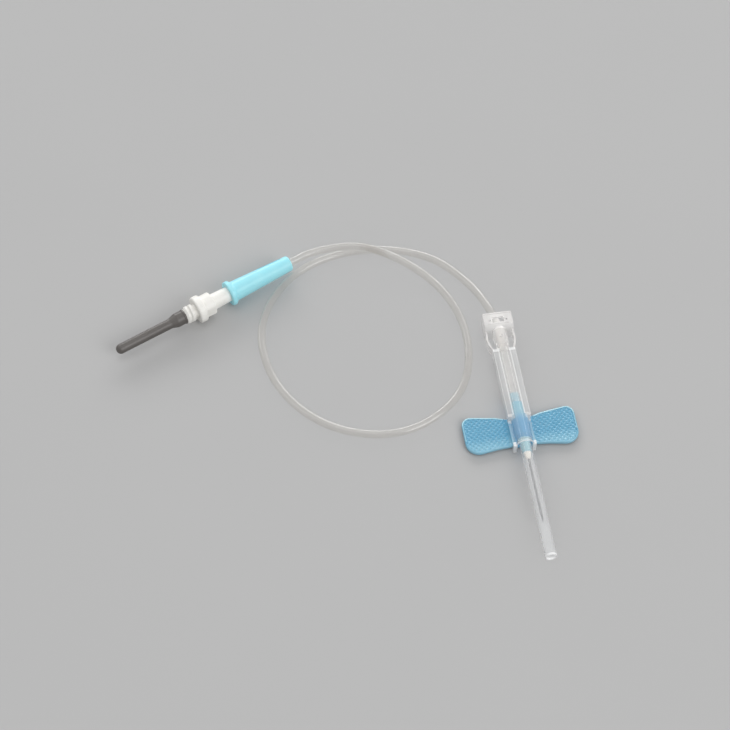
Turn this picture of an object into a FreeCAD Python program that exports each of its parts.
import FreeCAD, Part

import math
import os

import Sketcher

# Winged blood collection needle: a butterfly needle in a pull-back safety sheath,
# a short tube, and a luer connector that carries a rubber-sleeved rear needle.
#
# Row frame, in millimetres: the needle points along -Y, the wings spread along X,
# +Z is up. The origin is at the bottom centre of the winged unit, midway between
# the rear of the grip and the open end of the needle guard.
#
# Inside the winged unit every station is a distance forward from the rear face of
# the grip, along the needle axis. Inside the luer end every station is a distance
# from the connector's mouth, towards the rubber sleeve.

os.makedirs("parts", exist_ok=True)
doc = FreeCAD.newDocument("blood_collection_needle")

# Driving sizes

SIZES = [
    # The unit as a whole
    ("unit_length", 76.8),
    ("axis_height", 3.3),
    ("slide_clearance", 0.08),
    ("fit_clearance", 0.03),
    ("seat_gap", 0.02),
    ("cut_overrun", 0.5),
    ("cut_slack", 0.01),

    # Grip at the rear of the needle carrier
    ("grip_width", 8.2),
    ("grip_height", 5.7),
    ("grip_length", 5.0),
    ("grip_slope", 1.1),
    ("passage_width", 3.8),
    ("passage_floor", 1.2),
    ("passage_roof", 5.0),
    ("passage_depth", 3.9),
    ("window_width", 3.3),
    ("window_length", 1.95),
    ("window_station", 1.45),
    ("lip_width", 0.45),
    ("lip_height", 0.2),
    ("lip_inset", 1.2),
    ("lip_setback", 0.04),
    ("pin_hole_diameter", 0.7),
    ("pin_hole_depth", 1.6),
    ("pin_hole_spacing", 4.6),
    ("pin_hole_station", 2.5),
    ("gate_diameter", 1.2),
    ("gate_height", 0.18),
    ("gate_station", 7.6),

    # Latch arms beside the neck
    ("arm_thickness", 0.55),
    ("arm_root_x", 4.1),
    ("arm_root_depth", 0.5),
    ("arm_bulge_x", 4.15),
    ("arm_toe_x", 3.1),
    ("arm_bulge_station", 7.4),
    ("arm_bottom", 1.1),
    ("arm_top", 3.9),
    ("arm_gap", 0.3),
    ("arm_bulge_radius", 12.0),
    ("arm_sweep_radius", 9.0),

    # Barrel of the carrier
    ("neck_diameter", 4.1),
    ("neck_straight", 2.2),
    ("neck_root", 1.0),
    ("barrel_diameter", 3.36),
    ("barrel_length", 24.3),
    ("lumen_diameter", 1.3),

    # Blue needle hub
    ("spigot_diameter", 2.0),
    ("spigot_length", 3.0),
    ("hub_body_length", 10.3),
    ("hub_shoulder", 1.0),
    ("nose_diameter", 2.5),
    ("nose_length", 4.3),
    ("well_diameter", 1.66),
    ("well_depth", 3.4),
    ("hub_lumen_depth", 8.0),

    # White seat that grips the cannula
    ("cone_base_diameter", 2.2),
    ("cone_tip_diameter", 0.95),
    ("cone_length", 2.1),

    # Cannula
    ("cannula_diameter", 0.64),
    ("cannula_bore", 0.34),
    ("cannula_exposed", 19.0),
    ("cannula_buried", 10.0),
    ("cannula_clearance", 0.01),
    ("bevel_length", 2.4),
    ("lancet_length", 1.0),
    ("bevel_knee_share", 0.35),

    # Needle guard
    ("guard_diameter", 3.2),
    ("guard_overlap", 3.7),

    # Sheath
    ("sheath_station", 11.5),
    ("rail_past_barrel", 4.7),
    ("rail_outer_width", 6.3),
    ("rail_inner_width", 3.0),
    ("rail_height", 4.75),
    ("rail_round", 0.3),
    ("sheath_wall", 0.34),
    ("bell_length", 8.5),
    ("bell_radius", 2.45),
    ("bell_wall", 0.36),
    ("bell_foot", 1.0),
    ("ledge_height", 0.55),
    ("bulkhead", 0.4),
    ("lug_length", 1.2),
    ("lug_height", 3.5),

    # Wing collar
    ("collar_bottom", 0.3),
    ("collar_top", 2.2),
    ("collar_round", 0.3),

    # Wings
    ("wing_thickness", 1.1),
    ("wing_level", 1.0),
    ("wing_gap", 0.05),
    ("wing_span", 31.2),
    ("wing_root_overhang", 1.6),
    ("wing_root_setback", 0.1),
    ("wing_waist_x", 7.0),
    ("waist_flare_rear", 0.95),
    ("waist_flare_front", 0.25),
    ("tip_flare_rear", 2.2),
    ("tip_flare_front", 1.6),
    ("rear_corner_radius", 2.4),
    ("front_corner_radius", 3.6),
    ("wing_edge_round", 0.3),
    ("rim_width", 0.6),
    ("rim_slant_share", 1.3),
    ("rim_corner_share", 0.75),
    ("rim_height", 0.2),

    # Tubing
    ("tube_diameter", 2.3),
    ("tube_lift", 0.02),
    ("hump_height", 3.8),

    # Luer connector
    ("connector_length", 20.3),
    ("flange_diameter", 7.2),
    ("flange_thickness", 1.1),
    ("flange_neck", 0.7),
    ("flange_chamfer", 0.2),
    ("connector_front_diameter", 5.8),
    ("connector_rear_diameter", 4.5),
    ("rear_chamfer", 0.5),
    ("tube_socket_depth", 7.1),
    ("luer_insert", 7.0),
    ("luer_end_room", 0.6),
    ("luer_mouth_diameter", 4.3),
    ("luer_taper", 0.06),
    ("groove_width", 0.5),
    ("groove_depth", 0.35),
    ("groove_length", 7.8),
    ("groove_end", 2.0),
    ("groove_roll", -40.0),

    # Adapter hub
    ("luer_visible", 5.3),
    ("adapter_bore", 1.8),
    ("body_diameter", 6.5),
    ("body_length", 3.2),
    ("body_flat_width", 5.8),
    ("stop_diameter", 7.8),
    ("stop_thickness", 2.1),
    ("stop_chamfer", 0.3),
    ("thread_diameter", 4.9),
    ("thread_length", 3.5),
    ("nipple_diameter", 2.0),
    ("nipple_length", 2.4),

    # Rear cannula and rubber sleeve
    ("rear_cannula_diameter", 0.8),
    ("rear_cannula_bore", 0.5),
    ("rear_cannula_reach", 19.6),
    ("rear_cannula_depth", 9.0),
    ("rear_bevel_length", 1.9),
    ("rear_lancet_length", 0.76),
    ("sleeve_length", 21.7),
    ("sleeve_diameter", 2.9),
    ("sleeve_bore", 1.5),
    ("sleeve_end_wall", 0.9),
    ("sleeve_end_round", 1.35),
    ("flare_diameter", 4.1),
    ("flare_length", 2.2),
    ("flare_sweep", 1.6),
    ("bead_diameter", 4.35),
    ("bead_length", 0.5),
    ("bead_blend", 0.2),
]

# Route of the tube's middle line, from its seat in the connector, over itself,
# round its loop on the table and into the grip. Each point is x, y and the name
# of its height.

ROUTE = [
    (-61.36, 62.57, "connector_level"),
    (-47.24, 68.97, "connector_level"),
    (-31.5, 69.2, "hump_level"),
    (-14.1, 55.9, "table_level"),
    (-7.6, 36.5, "table_level"),
    (-12.3, 15.4, "table_level"),
    (-31.0, 4.4, "table_level"),
    (-51.7, 9.7, "table_level"),
    (-64.8, 26.3, "table_level"),
    (-66.7, 47.4, "table_level"),
    (-54.5, 64.7, "table_level"),
    (-34.3, 70.3, "table_level"),
    (-14.5, 64.1, "table_level"),
    (0.0, 44.0, "axis_level"),
    (0.0, 26.0, "axis_level"),
]
ARC_SHARE = 0.45

sheet = doc.addObject("Spreadsheet::Sheet", "sizes")
for row, (alias, number) in enumerate(SIZES, start=1):
    sheet.set(f"A{row}", alias)
    sheet.set(f"B{row}", str(number))
    sheet.setAlias(f"B{row}", alias)
doc.recompute()

# Lengths that follow from the driving sizes, as expressions

S = "sizes."
GRIP_END = f"{S}grip_length"
BARREL_END = f"({S}grip_length + {S}barrel_length)"
HUB_BODY_END = f"({BARREL_END} + {S}hub_body_length)"
NOSE_START = f"({HUB_BODY_END} + {S}hub_shoulder)"
NOSE_END = f"({NOSE_START} + {S}nose_length)"
CONE_END = f"({NOSE_END} + {S}seat_gap + {S}cone_length)"
NEEDLE_TIP = f"({CONE_END} + {S}cannula_exposed)"
GUARD_START = f"({NOSE_END} - {S}guard_overlap)"
RAIL_END = f"({BARREL_END} + {S}rail_past_barrel)"
RAIL_LENGTH = f"({RAIL_END} - {S}sheath_station)"
SHEATH_END = f"({RAIL_END} + {S}bell_length)"
LUG_START = f"({SHEATH_END} - {S}lug_length)"
BORE_RADIUS = f"({S}barrel_diameter / 2 + {S}slide_clearance)"
SHEATH_RADIUS = f"({BORE_RADIUS} + {S}sheath_wall)"
BELL_BORE = f"({S}bell_radius - {S}bell_wall)"
HALF_RAIL = f"({S}rail_outer_width / 2)"
FLOOR = f"(-{S}axis_height)"
HINGE_X = f"({HALF_RAIL} + {S}wing_gap + {S}wing_thickness / 2)"
WING_TIP_X = f"({S}wing_span / 2)"
ROOT_REAR = f"({RAIL_END} - {S}wing_root_overhang)"
ROOT_FRONT = f"({LUG_START} - {S}wing_root_setback)"
TUBE_BORE = f"({S}tube_diameter / 2 + {S}fit_clearance)"
LUMEN = f"({S}lumen_diameter / 2)"
LUER_LEVEL = f"({S}stop_diameter / 2)"


def size(text):
    """Value of an expression on the sheet, in millimetres."""
    result = sheet.evalExpression(text)
    return float(getattr(result, "Value", result))


def above_floor(name):
    """Local height of a size that is measured up from the table."""
    return f"({S}{name} - {S}axis_height)"


TUBE_START = f"({S}unit_length / 2 - {ROUTE[-1][1]})"

# Helpers that build bodies, sketches and features


def new_body(label):
    """Body whose local origin is the rear face of the grip, on the needle axis."""
    body = doc.addObject("PartDesign::Body", label)
    body.Label = label
    body.setExpression("Placement.Base.y", f"{S}unit_length / 2")
    body.setExpression("Placement.Base.z", f"{S}axis_height")
    return body


def new_luer_body(label):
    """Body whose local origin is the connector's mouth, on the luer axis."""
    body = doc.addObject("PartDesign::Body", label)
    body.Label = label
    start = FreeCAD.Vector(*ROUTE[0][:2], 0)
    heading = (FreeCAD.Vector(*ROUTE[1][:2], 0) - start).normalize()
    seat_to_mouth = size(f"{S}connector_length - {S}tube_socket_depth")
    mouth = start - heading * seat_to_mouth
    mouth.z = size(LUER_LEVEL)
    turn = math.degrees(math.atan2(heading.y, heading.x)) - 90
    body.Placement = FreeCAD.Placement(mouth, FreeCAD.Rotation(turn, 0, 0))
    return body


def sketch_on(body, name, plane, offset=None):
    """Sketch on one of the body's own origin planes, moved along its normal."""
    support = [item for item in body.Origin.OriginFeatures if item.Role == plane][0]
    sketch = body.newObject("Sketcher::SketchObject", name)
    sketch.AttachmentSupport = [(support, "")]
    sketch.MapMode = "FlatFace"
    if offset is not None:
        sketch.setExpression("AttachmentOffset.Base.z", offset)
    return sketch


def roll(sketch, angle, height):
    """Roll a level sketch round the body's long axis, at a height above the axis."""
    sketch.AttachmentOffset = FreeCAD.Placement(
        FreeCAD.Vector(0, 0, 0), FreeCAD.Rotation(FreeCAD.Vector(0, 1, 0), size(angle)))
    sketch.setExpression("AttachmentOffset.Base.x", f"{height} * sin({angle} * 1 deg)")
    sketch.setExpression("AttachmentOffset.Base.z", f"{height} * cos({angle} * 1 deg)")
    sketch.setExpression("AttachmentOffset.Rotation.Angle", angle)


def pin_point(sketch, geometry, end, across, up):
    """Fix one end of a sketch line at two expressions from the sketch's origin."""
    for kind, axis, text in (("DistanceX", -2, across), ("DistanceY", -1, up)):
        value = size(text)
        if abs(value) < 1e-9:
            sketch.addConstraint(Sketcher.Constraint("PointOnObject", geometry, end, axis))
        else:
            index = sketch.addConstraint(Sketcher.Constraint(kind, -1, 1, geometry, end, value))
            sketch.setExpression(f"Constraints[{index}]", text)


def add_bow(sketch, start, end, radius, side):
    """Arc between two spots, bulging to the left (1) or right (-1) of the way."""
    chord = end - start
    across = FreeCAD.Vector(-chord.y, chord.x, 0).normalize()
    depth = math.sqrt(radius ** 2 - (chord.Length / 2) ** 2)
    centre = (start + end) * 0.5 - across * (side * depth)
    angles = [math.atan2(spot.y - centre.y, spot.x - centre.x) for spot in (start, end)]
    forwards = (angles[1] - angles[0]) % (2 * math.pi) < math.pi
    if not forwards:
        angles.reverse()
    ring = Part.Circle(centre, FreeCAD.Vector(0, 0, 1), radius)
    number = sketch.addGeometry(Part.ArcOfCircle(ring, *angles), False)
    return (number, 1, 2) if forwards else (number, 2, 1)


def outline(sketch, corners, bows=None):
    """Closed outline through corners given as expressions.

    A side is straight, or an arc where bows maps the number of its first corner
    to a radius and to the side that it bulges to, 1 for left and -1 for right.
    """
    bows = bows or {}
    spots = [FreeCAD.Vector(size(across), size(up), 0) for across, up in corners]
    count = len(spots)
    sides = []
    for index, spot in enumerate(spots):
        after = spots[(index + 1) % count]
        if index in bows:
            radius, side = bows[index]
            sides.append(add_bow(sketch, spot, after, size(radius), side))
            bound = sketch.addConstraint(Sketcher.Constraint("Radius", sides[-1][0], size(radius)))
            sketch.setExpression(f"Constraints[{bound}]", radius)
        else:
            sides.append((sketch.addGeometry(Part.LineSegment(spot, after), False), 1, 2))
    for index, (number, begin, end) in enumerate(sides):
        after, after_begin, _ = sides[(index + 1) % count]
        sketch.addConstraint(Sketcher.Constraint("Coincident", number, end, after, after_begin))
        pin_point(sketch, number, begin, *corners[index])


def rectangle(sketch, left, right, bottom, top):
    """Upright rectangle between four expressions."""
    outline(sketch, [(left, bottom), (right, bottom), (right, top), (left, top)])


def circle(sketch, across, up, radius):
    """Circle whose centre and radius are expressions."""
    centre = FreeCAD.Vector(size(across), size(up), 0)
    ring = sketch.addGeometry(Part.Circle(centre, FreeCAD.Vector(0, 0, 1), size(radius)), False)
    pin_point(sketch, ring, 3, across, up)
    index = sketch.addConstraint(Sketcher.Constraint("Radius", ring, size(radius)))
    sketch.setExpression(f"Constraints[{index}]", radius)


def arch(sketch, radius, foot):
    """Half circle round the axis with straight legs down to the foot."""
    half = size(radius)
    low = size(foot)
    bow = Part.ArcOfCircle(Part.Circle(FreeCAD.Vector(0, 0, 0), FreeCAD.Vector(0, 0, 1), half), 0, math.pi)
    top = sketch.addGeometry(bow, False)
    spots = [(-half, 0), (-half, low), (half, low), (half, 0)]
    lines = []
    for index in range(3):
        start = FreeCAD.Vector(*spots[index], 0)
        end = FreeCAD.Vector(*spots[index + 1], 0)
        lines.append(sketch.addGeometry(Part.LineSegment(start, end), False))
    sketch.addConstraint(Sketcher.Constraint("Coincident", top, 3, -1, 1))
    sketch.addConstraint(Sketcher.Constraint("Coincident", top, 2, lines[0], 1))
    sketch.addConstraint(Sketcher.Constraint("Coincident", lines[0], 2, lines[1], 1))
    sketch.addConstraint(Sketcher.Constraint("Coincident", lines[1], 2, lines[2], 1))
    sketch.addConstraint(Sketcher.Constraint("Coincident", lines[2], 2, top, 1))
    sketch.addConstraint(Sketcher.Constraint("PointOnObject", top, 1, -1))
    sketch.addConstraint(Sketcher.Constraint("PointOnObject", top, 2, -1))
    sketch.addConstraint(Sketcher.Constraint("Vertical", lines[0]))
    sketch.addConstraint(Sketcher.Constraint("Vertical", lines[2]))
    sketch.addConstraint(Sketcher.Constraint("Horizontal", lines[1]))
    index = sketch.addConstraint(Sketcher.Constraint("Radius", top, half))
    sketch.setExpression(f"Constraints[{index}]", radius)
    index = sketch.addConstraint(Sketcher.Constraint("DistanceY", -1, 1, lines[0], 2, low))
    sketch.setExpression(f"Constraints[{index}]", foot)


def pad(body, name, sketch, length, backwards=False):
    """Pad of a sketch by an expression, along its normal or against it."""
    feature = body.newObject("PartDesign::Pad", name)
    feature.Profile = sketch
    feature.setExpression("Length", length)
    feature.Reversed = backwards
    return feature


def pocket(body, name, sketch, length, backwards=False):
    """Cut of a sketch by an expression. Backwards cuts along the sketch's normal."""
    doc.recompute()
    before = body.Shape.Volume
    feature = body.newObject("PartDesign::Pocket", name)
    feature.Profile = sketch
    feature.setExpression("Length", length)
    feature.Reversed = backwards
    doc.recompute()
    if body.Shape.Volume >= before:
        raise RuntimeError(f"{name} in {body.Label} cuts nothing")
    return feature


def turned(body, name, stations):
    """Solid turned round the local Y axis from (station, radius) expressions."""
    sketch = sketch_on(body, f"{name}_profile", "XY_Plane")
    outline(sketch, [(radius, f"-({station})") for station, radius in stations])
    feature = body.newObject("PartDesign::Revolution", name)
    feature.Profile = sketch
    feature.ReferenceAxis = (sketch, ["V_Axis"])
    feature.Angle = 360
    return feature


def edges_where(feature, chosen):
    """Names of the feature's edges whose middle point and shape pass a test."""
    doc.recompute()
    names = []
    for number, edge in enumerate(feature.Shape.Edges, start=1):
        middle = edge.valueAt((edge.FirstParameter + edge.LastParameter) / 2)
        if chosen(edge, middle):
            names.append(f"Edge{number}")
    if not names:
        raise RuntimeError(f"no edge found on {feature.Name}")
    return names


def fillet(body, name, feature, chosen, radius):
    """Round the chosen edges of a feature by an expression."""
    names = edges_where(feature, chosen)
    rounded = body.newObject("PartDesign::Fillet", name)
    rounded.Base = (feature, names)
    rounded.setExpression("Radius", radius)
    return rounded


def chamfer(body, name, feature, chosen, width):
    """Bevel the chosen edges of a feature by an expression."""
    names = edges_where(feature, chosen)
    bevel = body.newObject("PartDesign::Chamfer", name)
    bevel.Base = (feature, names)
    bevel.setExpression("Size", width)
    return bevel


def near(value, text, slack=0.01):
    """Whether a number is at the value of an expression."""
    return abs(value - size(text)) < slack


def runs_along(edge, direction):
    """Whether a straight edge is parallel to a direction."""
    if edge.Curve.TypeId != "Part::GeomLine":
        return False
    ends = edge.Vertexes[-1].Point - edge.Vertexes[0].Point
    return ends.cross(FreeCAD.Vector(*direction)).Length < 1e-6 * max(ends.Length, 1)


def is_ring(edge, spot, radius):
    """Whether an edge is a full circle of that radius round the local Y axis."""
    whole = 2 * math.pi * size(radius)
    return near(math.hypot(spot.x, spot.z), radius) and abs(edge.Length / whole - 1) < 0.01


# Needle carrier: grip, neck, barrel and latch arms in one clear moulding


def add_grip(body):
    """Grip block with its tube passage, window, pin holes and lips."""
    half = f"{S}grip_width / 2"
    roof = above_floor("grip_height")
    face = sketch_on(body, "grip_face", "XZ_Plane")
    rectangle(face, f"-{half}", half, FLOOR, roof)
    grip = pad(body, "grip", face, GRIP_END)
    slope = chamfer(
        body, "grip_front_slope", grip,
        lambda edge, spot: runs_along(edge, (1, 0, 0)) and near(spot.y, f"-{GRIP_END}")
        and near(spot.z, roof),
        f"{S}grip_slope")
    fillet(
        body, "grip_corners", slope,
        lambda edge, spot: runs_along(edge, (0, 1, 0)) and near(spot.z, roof),
        f"{S}rail_round")
    lips = sketch_on(body, "lip_plan", "XY_Plane", roof)
    inner = f"{half} - {S}rail_round"
    window_front = f"({S}window_station + {S}window_length)"
    short = f"({half} - {S}lip_inset)"
    rectangle(lips, f"-({inner})", inner, f"-({S}lip_setback + {S}lip_width)", f"-{S}lip_setback")
    rectangle(lips, f"-{short}", short,
              f"-({window_front} + {S}lip_setback + {S}lip_width)",
              f"-({window_front} + {S}lip_setback)")
    pad(body, "lips", lips, f"{S}lip_height")


def add_neck_and_barrel(body):
    """Neck that tapers out of the grip into the long sliding barrel."""
    neck_end = f"({GRIP_END} + {S}neck_straight)"
    taper_end = f"({S}sheath_station - {S}seat_gap)"
    inside = f"({GRIP_END} - {S}neck_root)"
    turned(body, "neck_and_barrel", [
        (inside, "0"),
        (inside, f"{S}neck_diameter / 2"),
        (neck_end, f"{S}neck_diameter / 2"),
        (taper_end, f"{S}barrel_diameter / 2"),
        (BARREL_END, f"{S}barrel_diameter / 2"),
        (BARREL_END, "0"),
    ])
    gate = sketch_on(body, "gate_plan", "XY_Plane", "0")
    circle(gate, "0", f"-{S}gate_station", f"{S}gate_diameter / 2")
    pad(body, "gate_mark", gate, f"{S}neck_diameter / 2 + {S}gate_height")


def add_latch_arm(body, name, side):
    """One springy latch arm, bowed out of the grip's cheek and in to its toe."""
    plan = sketch_on(body, f"{name}_plan", "XY_Plane", above_floor("arm_bottom"))
    root_station = f"({GRIP_END} - {S}arm_root_depth)"
    toe_station = f"({S}sheath_station - {S}arm_gap)"
    places = [
        (f"{S}arm_root_x", root_station),
        (f"{S}arm_bulge_x", f"{S}arm_bulge_station"),
        (f"{S}arm_toe_x", toe_station),
    ]
    outer = [(f"{side} * {across}", f"-{station}") for across, station in places]
    inner = [(f"{side} * ({across} - {S}arm_thickness)", f"-{station}")
             for across, station in reversed(places)]
    bulge = f"{S}arm_bulge_radius"
    sweep = f"{S}arm_sweep_radius"
    outline(plan, outer + inner,
            {0: (bulge, side), 1: (sweep, -side), 3: (sweep, side), 4: (bulge, -side)})
    pad(body, name, plan, f"{S}arm_top - {S}arm_bottom")


def cut_carrier_openings(body):
    """Tube passage, window, pin holes and the stepped bore of the barrel."""
    passage = sketch_on(body, "passage_section", "XZ_Plane")
    half_passage = f"{S}passage_width / 2"
    rectangle(passage, f"-{half_passage}", half_passage,
              above_floor("passage_floor"), above_floor("passage_roof"))
    pocket(body, "tube_passage", passage, f"{S}passage_depth", backwards=True)

    window = sketch_on(body, "window_plan", "XY_Plane", above_floor("passage_roof"))
    half_window = f"{S}window_width / 2"
    rectangle(window, f"-{half_window}", half_window,
              f"-({S}window_station + {S}window_length)", f"-{S}window_station")
    pocket(body, "window", window, f"{S}grip_height - {S}passage_roof + {S}cut_overrun",
           backwards=True)

    holes = sketch_on(body, "pin_hole_plan", "XY_Plane", above_floor("grip_height"))
    for side in ("-", ""):
        circle(holes, f"{side}{S}pin_hole_spacing / 2", f"-{S}pin_hole_station",
               f"{S}pin_hole_diameter / 2")
    pocket(body, "pin_holes", holes, f"{S}pin_hole_depth")

    seat_start = f"({S}passage_depth - {S}cut_overrun)"
    seat = sketch_on(body, "tube_seat_section", "XZ_Plane", seat_start)
    circle(seat, "0", "0", TUBE_BORE)
    pocket(body, "tube_seat", seat, f"{TUBE_START} - {seat_start}", backwards=True)

    lumen_start = f"({TUBE_START} - {S}cut_overrun)"
    lumen = sketch_on(body, "lumen_section", "XZ_Plane", lumen_start)
    circle(lumen, "0", "0", LUMEN)
    pocket(body, "lumen", lumen, f"{BARREL_END} - {lumen_start} + {S}cut_overrun",
           backwards=True)

    socket = sketch_on(body, "hub_socket_section", "XZ_Plane", BARREL_END)
    circle(socket, "0", "0", f"{S}spigot_diameter / 2 + {S}fit_clearance")
    pocket(body, "hub_socket", socket, f"{S}spigot_length + {S}seat_gap")


def make_needle_carrier():
    """Clear carrier that the thumb and finger pull back."""
    body = new_body("needle_carrier")
    add_grip(body)
    add_neck_and_barrel(body)
    add_latch_arm(body, "right_arm", 1)
    add_latch_arm(body, "left_arm", -1)
    cut_carrier_openings(body)
    return body


# Needle group: blue hub, white seat, steel cannula and clear guard


def make_needle_hub():
    """Blue hub, with a spigot in the barrel and a nose that holds the guard."""
    body = new_body("needle_hub")
    spigot_start = f"({BARREL_END} - {S}spigot_length)"
    hub_start = f"({BARREL_END} + {S}seat_gap)"
    hub_radius = f"{S}barrel_diameter / 2"
    nose_radius = f"{S}nose_diameter / 2"
    cannula_hole = f"({S}cannula_diameter / 2 + {S}cannula_clearance)"
    lumen_end = f"({spigot_start} + {S}hub_lumen_depth)"
    well_start = f"({NOSE_END} - {S}well_depth)"
    turned(body, "hub", [
        (spigot_start, LUMEN),
        (spigot_start, f"{S}spigot_diameter / 2"),
        (hub_start, f"{S}spigot_diameter / 2"),
        (hub_start, hub_radius),
        (HUB_BODY_END, hub_radius),
        (NOSE_START, nose_radius),
        (NOSE_END, nose_radius),
        (NOSE_END, f"{S}well_diameter / 2"),
        (well_start, f"{S}well_diameter / 2"),
        (well_start, cannula_hole),
        (lumen_end, cannula_hole),
        (lumen_end, LUMEN),
    ])
    return body


def make_needle_seat():
    """White seat: a stem in the hub's well and a cone round the cannula."""
    body = new_body("needle_seat")
    stem = f"({S}well_diameter / 2 - {S}fit_clearance)"
    hole = f"({S}cannula_diameter / 2 + {S}cannula_clearance)"
    stem_start = f"({NOSE_END} - {S}well_depth + {S}seat_gap)"
    cone_start = f"({NOSE_END} + {S}seat_gap)"
    turned(body, "seat", [
        (stem_start, hole),
        (stem_start, stem),
        (cone_start, stem),
        (cone_start, f"{S}cone_base_diameter / 2"),
        (CONE_END, f"{S}cone_tip_diameter / 2"),
        (CONE_END, hole),
    ])
    return body


def cut_bevel(body, tip, radius, long_cut, short_cut):
    """Ground point: a long slant on top, then a steeper one towards the tip."""
    half_cut = f"({radius} + {S}cut_overrun)"
    above = f"({radius} + {S}cut_slack)"
    past_tip = f"-({tip}) - {S}cut_overrun"
    side = sketch_on(body, "bevel_side", "YZ_Plane", f"-{half_cut}")
    outline(side, [
        (f"-({tip}) + {long_cut}", above),
        (f"-({tip}) + {short_cut}", f"-{radius} * {S}bevel_knee_share"),
        (f"-({tip})", f"-{radius}"),
        (past_tip, f"-{radius}"),
        (past_tip, above),
    ])
    pocket(body, "bevel", side, f"2 * {half_cut}", backwards=True)


def make_cannula():
    """Thin steel tube with its ground point."""
    body = new_body("cannula")
    radius = f"{S}cannula_diameter / 2"
    start = f"({NOSE_END} - {S}cannula_buried)"
    turned(body, "steel_tube", [
        (start, f"{S}cannula_bore / 2"),
        (start, radius),
        (NEEDLE_TIP, radius),
        (NEEDLE_TIP, f"{S}cannula_bore / 2"),
    ])
    cut_bevel(body, NEEDLE_TIP, radius, f"{S}bevel_length", f"{S}lancet_length")
    return body


def make_needle_guard():
    """Clear tube that grips the nose and covers the needle."""
    body = new_body("needle_guard")
    bore = f"({S}nose_diameter / 2 + {S}fit_clearance)"
    turned(body, "guard_tube", [
        (GUARD_START, bore),
        (GUARD_START, f"{S}guard_diameter / 2"),
        (f"{S}unit_length", f"{S}guard_diameter / 2"),
        (f"{S}unit_length", bore),
    ])
    return body


# Sheath group: clear sheath, wing collar and the two wings


def add_rails(body):
    """Tube between two side rails, down to the table."""
    tube = sketch_on(body, "sheath_tube_section", "XZ_Plane", f"{S}sheath_station")
    circle(tube, "0", "0", SHEATH_RADIUS)
    pad(body, "sheath_tube", tube, RAIL_LENGTH)
    rails = sketch_on(body, "rail_section", "XZ_Plane", f"{S}sheath_station")
    inner = f"({S}rail_inner_width / 2)"
    top = above_floor("rail_height")
    rectangle(rails, f"-{HALF_RAIL}", f"-{inner}", FLOOR, top)
    rectangle(rails, inner, HALF_RAIL, FLOOR, top)
    rail_pad = pad(body, "rails", rails, RAIL_LENGTH)
    fillet(
        body, "rail_edges", rail_pad,
        lambda edge, spot: runs_along(edge, (0, 1, 0)) and near(spot.z, top)
        and near(abs(spot.x), HALF_RAIL),
        f"{S}rail_round")


def add_bell(body):
    """Wider arched front with its two lugs and the ledges over the wing collar."""
    bell = sketch_on(body, "bell_section", "XZ_Plane", f"{RAIL_END} - {S}bulkhead")
    arch(bell, f"{S}bell_radius", above_floor("bell_foot"))
    pad(body, "bell", bell, f"{S}bell_length + {S}bulkhead")
    lugs = sketch_on(body, "lug_section", "XZ_Plane", LUG_START)
    top = above_floor("lug_height")
    rectangle(lugs, f"-{HALF_RAIL}", f"-{BELL_BORE}", FLOOR, top)
    rectangle(lugs, BELL_BORE, HALF_RAIL, FLOOR, top)
    pad(body, "lugs", lugs, f"{S}lug_length")
    ledges = sketch_on(body, "ledge_section", "XZ_Plane", RAIL_END)
    bottom = f"({above_floor('collar_top')} + {S}seat_gap)"
    top = f"({bottom} + {S}ledge_height)"
    rectangle(ledges, f"-{HALF_RAIL}", f"-{BELL_BORE}", bottom, top)
    rectangle(ledges, BELL_BORE, HALF_RAIL, bottom, top)
    pad(body, "ledges", ledges, f"{S}bell_length - {S}lug_length")


def make_sheath():
    """Clear sheath that covers the needle once the carrier is pulled back."""
    body = new_body("sheath")
    add_rails(body)
    add_bell(body)
    bell_room = sketch_on(body, "bell_bore_section", "XZ_Plane", f"{RAIL_END} + {S}bulkhead")
    arch(bell_room, BELL_BORE, f"{above_floor('bell_foot')} - {S}cut_overrun")
    pocket(body, "bell_bore", bell_room, f"{S}bell_length + {S}cut_overrun", backwards=True)
    bore_start = f"({S}sheath_station - {S}cut_overrun)"
    bore = sketch_on(body, "bore_section", "XZ_Plane", bore_start)
    circle(bore, "0", "0", BORE_RADIUS)
    pocket(body, "bore", bore, f"{RAIL_END} + {S}bulkhead + {S}cut_overrun - {bore_start}",
           backwards=True)
    return body


def make_wing_collar():
    """Blue trough that holds the bell between the rails and the lugs."""
    body = new_body("wing_collar")
    start = f"{RAIL_END} + {S}seat_gap"
    section = sketch_on(body, "collar_section", "XZ_Plane", start)
    inner = f"({S}bell_radius + {S}fit_clearance)"
    bottom = above_floor("collar_bottom")
    top = above_floor("collar_top")
    floor_top = f"({above_floor('bell_foot')} - {S}fit_clearance)"
    outline(section, [
        (f"-{HALF_RAIL}", bottom),
        (HALF_RAIL, bottom),
        (HALF_RAIL, top),
        (inner, top),
        (inner, floor_top),
        (f"-{inner}", floor_top),
        (f"-{inner}", top),
        (f"-{HALF_RAIL}", top),
    ])
    trough = pad(body, "trough", section,
                 f"{S}bell_length - {S}lug_length - 2 * {S}seat_gap")
    fillet(
        body, "trough_edges", trough,
        lambda edge, spot: runs_along(edge, (0, 1, 0)) and near(spot.z, top)
        and near(abs(spot.x), HALF_RAIL),
        f"{S}collar_round")
    return body


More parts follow.
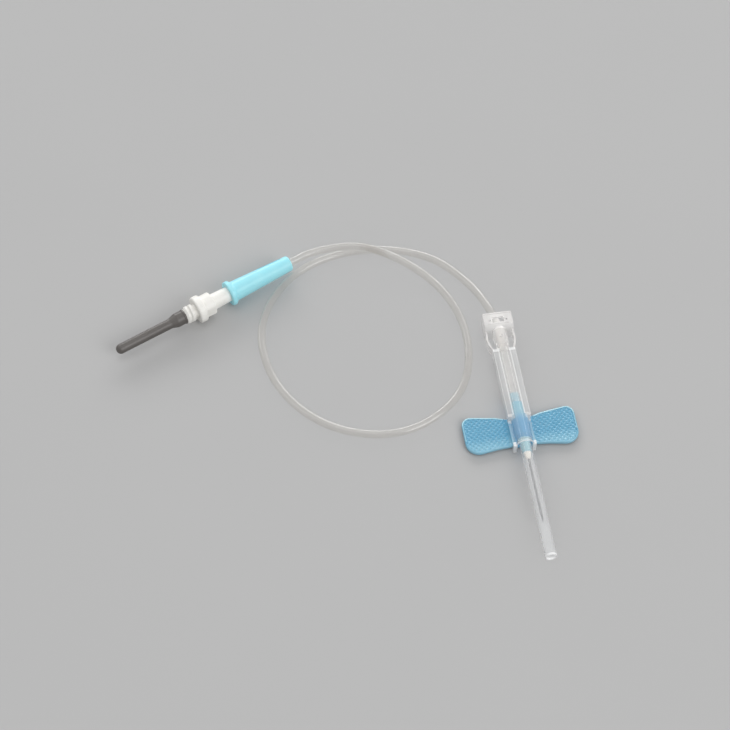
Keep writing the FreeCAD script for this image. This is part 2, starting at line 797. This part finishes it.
def wing_outline(side):
    """Corners of a wing in plan, root first."""
    return [
        (f"{side} * {HINGE_X}", f"-{ROOT_REAR}"),
        (f"{side} * {S}wing_waist_x", f"-({ROOT_REAR} - {S}waist_flare_rear)"),
        (f"{side} * {WING_TIP_X}", f"-({ROOT_REAR} - {S}tip_flare_rear)"),
        (f"{side} * {WING_TIP_X}", f"-({ROOT_FRONT} + {S}tip_flare_front)"),
        (f"{side} * {S}wing_waist_x", f"-({ROOT_FRONT} + {S}waist_flare_front)"),
        (f"{side} * {HINGE_X}", f"-{ROOT_FRONT}"),
    ]


def field_outline(side):
    """Corners of the recessed field inside a wing's rim, cut across at the tip corners."""
    inset = f"{S}rim_width"
    root = f"({HINGE_X} + {inset})"
    tip = f"({WING_TIP_X} - {inset})"
    rear = f"({ROOT_REAR} - {S}tip_flare_rear + {inset} * {S}rim_slant_share)"
    front = f"({ROOT_FRONT} + {S}tip_flare_front - {inset} * {S}rim_slant_share)"
    rear_cut = f"({S}rim_corner_share * ({S}rear_corner_radius - {inset}))"
    front_cut = f"({S}rim_corner_share * ({S}front_corner_radius - {inset}))"
    return [
        (f"{side} * {root}", f"-({ROOT_REAR} + {inset})"),
        (f"{side} * {S}wing_waist_x", f"-({ROOT_REAR} - {S}waist_flare_rear + {inset})"),
        (f"{side} * ({tip} - {rear_cut})", f"-{rear}"),
        (f"{side} * {tip}", f"-({rear} + {rear_cut})"),
        (f"{side} * {tip}", f"-({front} - {front_cut})"),
        (f"{side} * ({tip} - {front_cut})", f"-{front}"),
        (f"{side} * {S}wing_waist_x", f"-({ROOT_FRONT} + {S}waist_flare_front - {inset})"),
        (f"{side} * {root}", f"-({ROOT_FRONT} - {inset})"),
    ]


def make_wing(label, side):
    """Wing plate with a round root, rounded tip corners and a raised rim."""
    body = new_body(label)
    half = f"({S}wing_thickness / 2)"
    level = above_floor("wing_level")
    plan = sketch_on(body, "wing_plan", "XY_Plane", f"{level} - {half}")
    outline(plan, wing_outline(side))
    plate = pad(body, "plate", plan, f"{S}wing_thickness")
    middle = size(f"-({ROOT_REAR} + {ROOT_FRONT}) / 2")
    rear_corner = fillet(
        body, "rear_corner", plate,
        lambda edge, spot: runs_along(edge, (0, 0, 1)) and near(abs(spot.x), WING_TIP_X)
        and spot.y > middle,
        f"{S}rear_corner_radius")
    front_corner = fillet(
        body, "front_corner", rear_corner,
        lambda edge, spot: runs_along(edge, (0, 0, 1)) and near(abs(spot.x), WING_TIP_X)
        and spot.y < middle,
        f"{S}front_corner_radius")
    fillet(
        body, "plate_edges", front_corner,
        lambda edge, spot: not runs_along(edge, (0, 0, 1)) and near(abs(spot.z - size(level)), half)
        and not near(abs(spot.x), HINGE_X),
        f"{S}wing_edge_round")
    knuckle = sketch_on(body, "knuckle_section", "XZ_Plane", ROOT_REAR)
    circle(knuckle, f"{side} * {HINGE_X}", level, half)
    pad(body, "knuckle", knuckle, f"{ROOT_FRONT} - {ROOT_REAR}")
    field = sketch_on(body, "field_plan", "XY_Plane", f"{level} + {half}")
    outline(field, field_outline(side))
    pocket(body, "field", field, f"{S}rim_height")
    return body


# Luer end: tube connector, adapter hub, rear cannula and rubber sleeve


def luer_radius(station):
    """Radius of the male taper at a station from the connector's mouth."""
    return f"({S}luer_mouth_diameter / 2 + ({station}) * {S}luer_taper / 2)"


def make_luer_connector():
    """Blue female connector: luer socket in front, tube socket behind."""
    body = new_luer_body("luer_connector")
    rear = f"(-{S}connector_length)"
    seat = f"({rear} + {S}tube_socket_depth)"
    socket_end = f"(-{S}luer_insert - {S}luer_end_room)"
    gap = f"{S}fit_clearance"
    flange_end = f"(-{S}flange_thickness)"
    neck_end = f"({flange_end} - {S}flange_neck)"
    front = f"{S}connector_front_diameter / 2"
    back = f"{S}connector_rear_diameter / 2"
    shell = turned(body, "shell", [
        ("0", f"{luer_radius('0')} + {gap}"),
        ("0", f"{S}flange_diameter / 2"),
        (flange_end, f"{S}flange_diameter / 2"),
        (neck_end, front),
        (f"({rear} + {S}rear_chamfer)", back),
        (rear, f"{back} - {S}rear_chamfer"),
        (rear, TUBE_BORE),
        (seat, TUBE_BORE),
        (seat, LUMEN),
        (socket_end, LUMEN),
        (socket_end, f"{luer_radius(socket_end)} + {gap}"),
    ])
    chamfer(
        body, "flange_edges", shell,
        lambda edge, spot: is_ring(edge, spot, f"{S}flange_diameter / 2"),
        f"{S}flange_chamfer")
    slot = sketch_on(body, "groove_plan", "XY_Plane")
    roll(slot, f"{S}groove_roll", back)
    half = f"({S}groove_width / 2)"
    rectangle(slot, f"-{half}", half,
              f"{S}connector_length - {S}groove_end - {S}groove_length",
              f"{S}connector_length - {S}groove_end")
    pocket(body, "groove", slot, f"{S}groove_depth")
    return body


def make_adapter_hub():
    """White adapter: male luer, gripping body, stop collar, thread and nipple."""
    body = new_luer_body("adapter_hub")
    tip = f"(-{S}luer_insert)"
    body_end = f"({S}luer_visible + {S}body_length)"
    stop_end = f"({body_end} + {S}stop_thickness)"
    thread_end = f"({stop_end} + {S}thread_length)"
    nipple_end = f"({thread_end} + {S}nipple_length)"
    cannula_hole = f"({S}rear_cannula_diameter / 2 + {S}cannula_clearance)"
    bore_end = f"({nipple_end} - {S}rear_cannula_depth)"
    shell = turned(body, "shell", [
        (tip, f"{S}adapter_bore / 2"),
        (tip, luer_radius(tip)),
        (f"{S}luer_visible", luer_radius(f"{S}luer_visible")),
        (f"{S}luer_visible", f"{S}body_diameter / 2"),
        (body_end, f"{S}body_diameter / 2"),
        (body_end, f"{S}stop_diameter / 2"),
        (stop_end, f"{S}stop_diameter / 2"),
        (stop_end, f"{S}thread_diameter / 2"),
        (thread_end, f"{S}thread_diameter / 2"),
        (thread_end, f"{S}nipple_diameter / 2"),
        (nipple_end, f"{S}nipple_diameter / 2"),
        (nipple_end, cannula_hole),
        (bore_end, cannula_hole),
        (bore_end, f"{S}adapter_bore / 2"),
    ])
    chamfer(
        body, "stop_edges", shell,
        lambda edge, spot: is_ring(edge, spot, f"{S}stop_diameter / 2"),
        f"{S}stop_chamfer")
    flats = sketch_on(body, "flat_section", "XZ_Plane", f"{S}luer_visible")
    flat = f"({S}body_flat_width / 2)"
    edge_x = f"({S}body_diameter / 2 + {S}cut_overrun)"
    rectangle(flats, f"-{edge_x}", f"-{flat}", f"-{edge_x}", edge_x)
    rectangle(flats, flat, edge_x, f"-{edge_x}", edge_x)
    pocket(body, "flats", flats, f"{S}body_length", backwards=True)
    return body


ADAPTER_FACE = (f"({S}luer_visible + {S}body_length + {S}stop_thickness"
                f" + {S}thread_length)")


def make_rear_cannula():
    """Steel needle under the rubber sleeve, for the stopper of a sample tube."""
    body = new_luer_body("rear_cannula")
    radius = f"{S}rear_cannula_diameter / 2"
    nipple_end = f"({ADAPTER_FACE} + {S}nipple_length)"
    tip = f"({ADAPTER_FACE} + {S}rear_cannula_reach)"
    start = f"({nipple_end} - {S}rear_cannula_depth + {S}seat_gap)"
    turned(body, "steel_tube", [
        (start, f"{S}rear_cannula_bore / 2"),
        (start, radius),
        (tip, radius),
        (tip, f"{S}rear_cannula_bore / 2"),
    ])
    cut_bevel(body, tip, radius, f"{S}rear_bevel_length", f"{S}rear_lancet_length")
    return body


def make_rubber_sleeve():
    """Dark rubber sleeve, closed at its tip and flared over the nipple."""
    body = new_luer_body("rubber_sleeve")
    root = f"({ADAPTER_FACE} + {S}seat_gap)"
    end = f"({ADAPTER_FACE} + {S}sleeve_length)"
    bead_end = f"({root} + {S}bead_length)"
    flare_end = f"({bead_end} + {S}flare_length)"
    sweep_end = f"({flare_end} + {S}flare_sweep)"
    nipple_room = f"({S}nipple_diameter / 2 + {S}fit_clearance)"
    nipple_end = f"({ADAPTER_FACE} + {S}nipple_length + {S}seat_gap)"
    inside_end = f"({end} - {S}sleeve_end_wall)"
    solid = turned(body, "sleeve", [
        (root, nipple_room),
        (root, f"{S}bead_diameter / 2"),
        (bead_end, f"{S}bead_diameter / 2"),
        (f"({bead_end} + {S}bead_blend)", f"{S}flare_diameter / 2"),
        (flare_end, f"{S}flare_diameter / 2"),
        (sweep_end, f"{S}sleeve_diameter / 2"),
        (end, f"{S}sleeve_diameter / 2"),
        (end, "0"),
        (inside_end, "0"),
        (inside_end, f"{S}sleeve_bore / 2"),
        (nipple_end, f"{S}sleeve_bore / 2"),
        (nipple_end, nipple_room),
    ])
    fillet(
        body, "sleeve_tip", solid,
        lambda edge, spot: near(spot.y, f"-{end}") and is_ring(edge, spot, f"{S}sleeve_diameter / 2"),
        f"{S}sleeve_end_round")
    return body


# Tubing: straight runs joined by tangent arcs


def route_points():
    """Route in the row frame, with each named height taken from the sheet."""
    heights = {
        "connector_level": size(LUER_LEVEL),
        "hump_level": size(f"{S}hump_height"),
        "table_level": size(f"{S}tube_diameter / 2 + {S}tube_lift"),
        "axis_level": size(f"{S}axis_height"),
    }
    return [FreeCAD.Vector(across, along, heights[level]) for across, along, level in ROUTE]


def rounded_path(points):
    """Wire of straight runs and tangent arcs through a route."""
    edges = []
    start = points[0]
    for before, corner, after in zip(points, points[1:], points[2:]):
        back = before - corner
        ahead = after - corner
        half_turn = (math.pi - back.getAngle(ahead)) / 2
        tangent = ARC_SHARE * min(back.Length, ahead.Length)
        radius = tangent / math.tan(half_turn)
        back.normalize()
        ahead.normalize()
        arc_start = corner + back * tangent
        arc_end = corner + ahead * tangent
        inward = (back + ahead).normalize()
        middle = corner + inward * (radius / math.cos(half_turn) - radius)
        edges.append(Part.LineSegment(start, arc_start).toShape())
        edges.append(Part.Arc(arc_start, middle, arc_end).toShape())
        print(f"tube arc radius {radius:.1f} mm, turn {math.degrees(2 * half_turn):.0f} degrees")
        start = arc_end
    edges.append(Part.LineSegment(start, points[-1]).toShape())
    return Part.Wire(edges)


def make_tubing():
    """Tube from the connector's seat to the carrier's seat."""
    path = rounded_path(route_points())
    radius = size(f"{S}tube_diameter / 2")
    start = path.Edges[0]
    direction = start.tangentAt(start.FirstParameter)
    ring = Part.Wire([Part.Circle(start.valueAt(start.FirstParameter), direction, radius).toShape()])
    solid = path.makePipeShell([ring], True, False)
    expected = math.pi * radius ** 2 * path.Length
    if abs(solid.Volume / expected - 1) > 0.01:
        raise RuntimeError("the tube's volume doesn't match its length")
    print(f"tube length {path.Length:.1f} mm")
    tubing = doc.addObject("Part::Feature", "tubing")
    tubing.Label = "tubing"
    tubing.Shape = solid
    tubing.Placement = FreeCAD.Placement()
    return tubing


# Build, check and write

subparts = [
    make_needle_carrier(),
    make_needle_hub(),
    make_needle_seat(),
    make_cannula(),
    make_needle_guard(),
    make_sheath(),
    make_wing_collar(),
    make_wing("left_wing", -1),
    make_wing("right_wing", 1),
    make_tubing(),
    make_luer_connector(),
    make_adapter_hub(),
    make_rear_cannula(),
    make_rubber_sleeve(),
]
doc.recompute()

for item in doc.Objects:
    if "Invalid" in item.State or "Error" in item.State:
        raise RuntimeError(f"{item.Name} failed: {item.State}")
for subpart in subparts:
    if subpart.Shape.isNull() or not subpart.Shape.isValid():
        raise RuntimeError(f"{subpart.Label} has no valid shape")
    if len(subpart.Shape.Solids) != 1:
        raise RuntimeError(f"{subpart.Label} isn't one solid")
    subpart.Shape.exportStep(f"parts/{subpart.Label}.step")
    box = subpart.Shape.BoundBox
    print(f"{subpart.Label}: {box.XLength:.2f} x {box.YLength:.2f} x {box.ZLength:.2f} mm,"
          f" {subpart.Shape.Volume:.1f} mm3")
